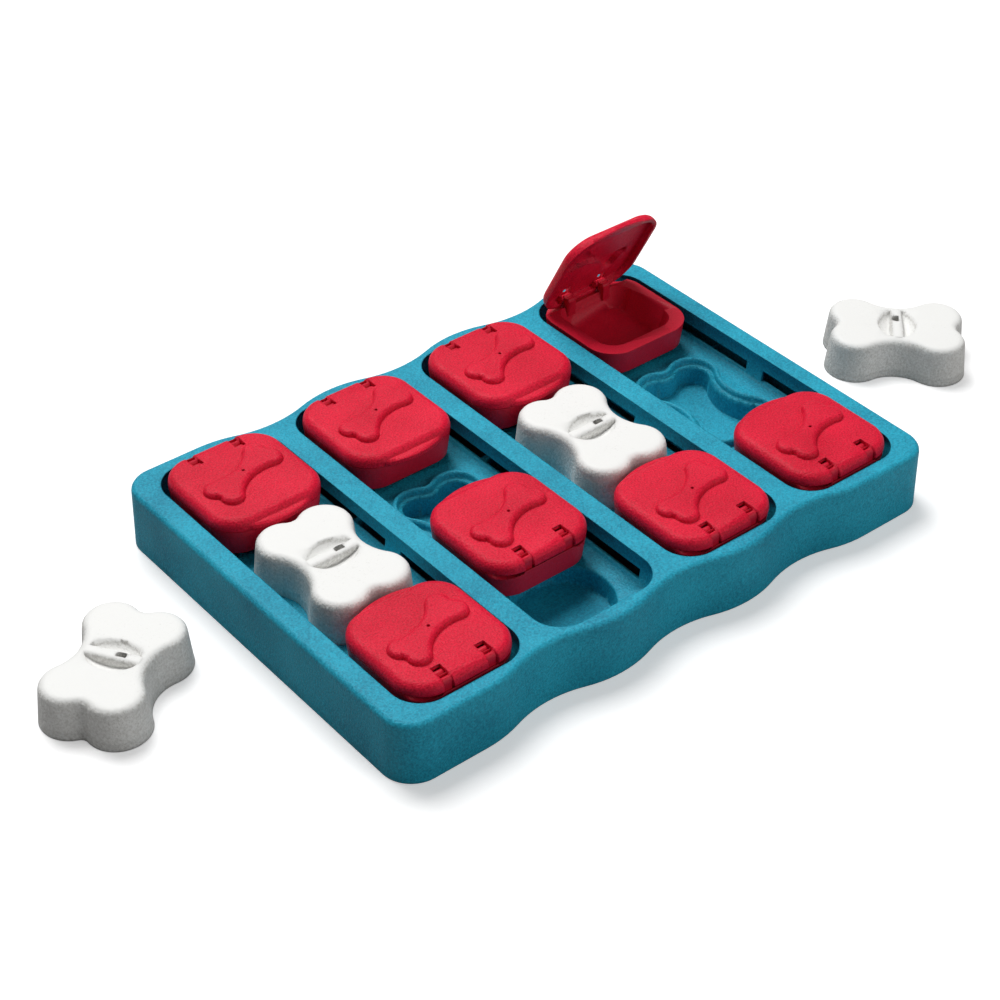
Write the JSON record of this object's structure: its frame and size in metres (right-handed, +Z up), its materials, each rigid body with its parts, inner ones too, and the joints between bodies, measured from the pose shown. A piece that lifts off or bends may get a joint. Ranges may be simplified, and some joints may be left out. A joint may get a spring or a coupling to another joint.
{
  "type": "dog puzzle feeder toy",
  "caption": "Slow feeder tray with lanes of sliding, hinged-lid treat boxes over wells, and lift-off hollow bones that lock them.",
  "frame": {"origin": "centre of the tray's resting face", "axes": "+X along the tray's long side, across its lanes; +Y along the lanes, towards the back; +Z up"},
  "size_m": [0.5436, 0.226, 0.0898],
  "materials": {
    "tray_teal": "fine moulded grain",
    "box_red": "satin",
    "lid_red": "fine moulded grain, satin",
    "bone_white": "fine moulded grain"
  },
  "bodies": {
    "tray": {"tray": "tray_teal", "floor_1_front": "tray_teal", "floor_1_middle": "tray_teal", "floor_1_back": "tray_teal", "floor_2_front": "tray_teal", "floor_2_middle": "tray_teal", "floor_2_back": "tray_teal", "floor_3_front": "tray_teal", "floor_3_middle": "tray_teal", "floor_3_back": "tray_teal", "floor_4_front": "tray_teal", "floor_4_middle": "tray_teal", "floor_4_back": "tray_teal"},
    "box_1_back": {"box_1_back": "box_red"},
    "lid_1_back": {"lid_1_back": "lid_red"},
    "box_1_front": {"box_1_front": "box_red"},
    "lid_1_front": {"lid_1_front": "lid_red"},
    "box_2_back": {"box_2_back": "box_red"},
    "lid_2_back": {"lid_2_back": "lid_red"},
    "box_2_front": {"box_2_front": "box_red"},
    "lid_2_front": {"lid_2_front": "lid_red"},
    "box_3_back": {"box_3_back": "box_red"},
    "lid_3_back": {"lid_3_back": "lid_red"},
    "box_3_front": {"box_3_front": "box_red"},
    "lid_3_front": {"lid_3_front": "lid_red"},
    "box_4_back": {"box_4_back": "box_red"},
    "lid_4_back": {"lid_4_back": "lid_red"},
    "box_4_front": {"box_4_front": "box_red"},
    "lid_4_front": {"lid_4_front": "lid_red"},
    "bone_1": {"bone_1": "bone_white"},
    "bone_3": {"bone_3": "bone_white"},
    "bone_left": {"bone_left": "bone_white"},
    "bone_right": {"bone_right": "bone_white"}
  },
  "joints": [
    {"name": "slide_1_back", "type": "slide", "parent": "tray", "child": "box_1_back", "axis": [0, 1, 0], "range_m": [-0.0005, 0]},
    {"name": "hinge_1_back", "type": "hinge", "parent": "box_1_back", "child": "lid_1_back", "pos_m": [-0.11722, 0.098, 0.0362], "axis": [-1, 0, 0], "range_deg": [0, 105]},
    {"name": "slide_1_front", "type": "slide", "parent": "tray", "child": "box_1_front", "axis": [0, 1, 0], "range_m": [0, 0.0005]},
    {"name": "hinge_1_front", "type": "hinge", "parent": "box_1_front", "child": "lid_1_front", "pos_m": [-0.11722, -0.098, 0.0362], "axis": [1, 0, 0], "range_deg": [0, 105]},
    {"name": "slide_2_back", "type": "slide", "parent": "tray", "child": "box_2_back", "axis": [0, 1, 0], "range_m": [-0.034, 0]},
    {"name": "hinge_2_back", "type": "hinge", "parent": "box_2_back", "child": "lid_2_back", "pos_m": [-0.03907, 0.098, 0.0362], "axis": [-1, 0, 0], "range_deg": [0, 105]},
    {"name": "slide_2_front", "type": "slide", "parent": "tray", "child": "box_2_front", "axis": [0, 1, 0], "range_m": [-0.0405, 0.031]},
    {"name": "hinge_2_front", "type": "hinge", "parent": "box_2_front", "child": "lid_2_front", "pos_m": [-0.03907, -0.0575, 0.0362], "axis": [1, 0, 0], "range_deg": [0, 105]},
    {"name": "slide_3_back", "type": "slide", "parent": "tray", "child": "box_3_back", "axis": [0, 1, 0], "range_m": [-0.0005, 0]},
    {"name": "hinge_3_back", "type": "hinge", "parent": "box_3_back", "child": "lid_3_back", "pos_m": [0.03907, 0.098, 0.0362], "axis": [-1, 0, 0], "range_deg": [0, 105]},
    {"name": "slide_3_front", "type": "slide", "parent": "tray", "child": "box_3_front", "axis": [0, 1, 0], "range_m": [0, 0.0005]},
    {"name": "hinge_3_front", "type": "hinge", "parent": "box_3_front", "child": "lid_3_front", "pos_m": [0.03907, -0.098, 0.0362], "axis": [1, 0, 0], "range_deg": [0, 105]},
    {"name": "slide_4_back", "type": "slide", "parent": "tray", "child": "box_4_back", "axis": [0, 1, 0], "range_m": [-0.0715, 0]},
    {"name": "hinge_4_back", "type": "hinge", "parent": "box_4_back", "child": "lid_4_back", "pos_m": [0.11722, 0.098, 0.0362], "axis": [-1, 0, 0], "range_deg": [-62.5, 42.5]},
    {"name": "slide_4_front", "type": "slide", "parent": "tray", "child": "box_4_front", "axis": [0, 1, 0], "range_m": [0, 0.0715]},
    {"name": "hinge_4_front", "type": "hinge", "parent": "box_4_front", "child": "lid_4_front", "pos_m": [0.11722, -0.098, 0.0362], "axis": [1, 0, 0], "range_deg": [0, 105]},
    {"name": "lift_bone_1", "type": "slide", "parent": "tray", "child": "bone_1", "axis": [0, 0, 1], "range_m": [0, 0.04]},
    {"name": "lift_bone_3", "type": "slide", "parent": "tray", "child": "bone_3", "axis": [0, 0, 1], "range_m": [0, 0.04]},
    {"name": "lift_bone_left", "type": "slide", "parent": "tray", "child": "bone_left", "axis": [0, 0, 1], "range_m": [0, 0.04]},
    {"name": "lift_bone_right", "type": "slide", "parent": "tray", "child": "bone_right", "axis": [0, 0, 1], "range_m": [0, 0.04]}
  ]
}
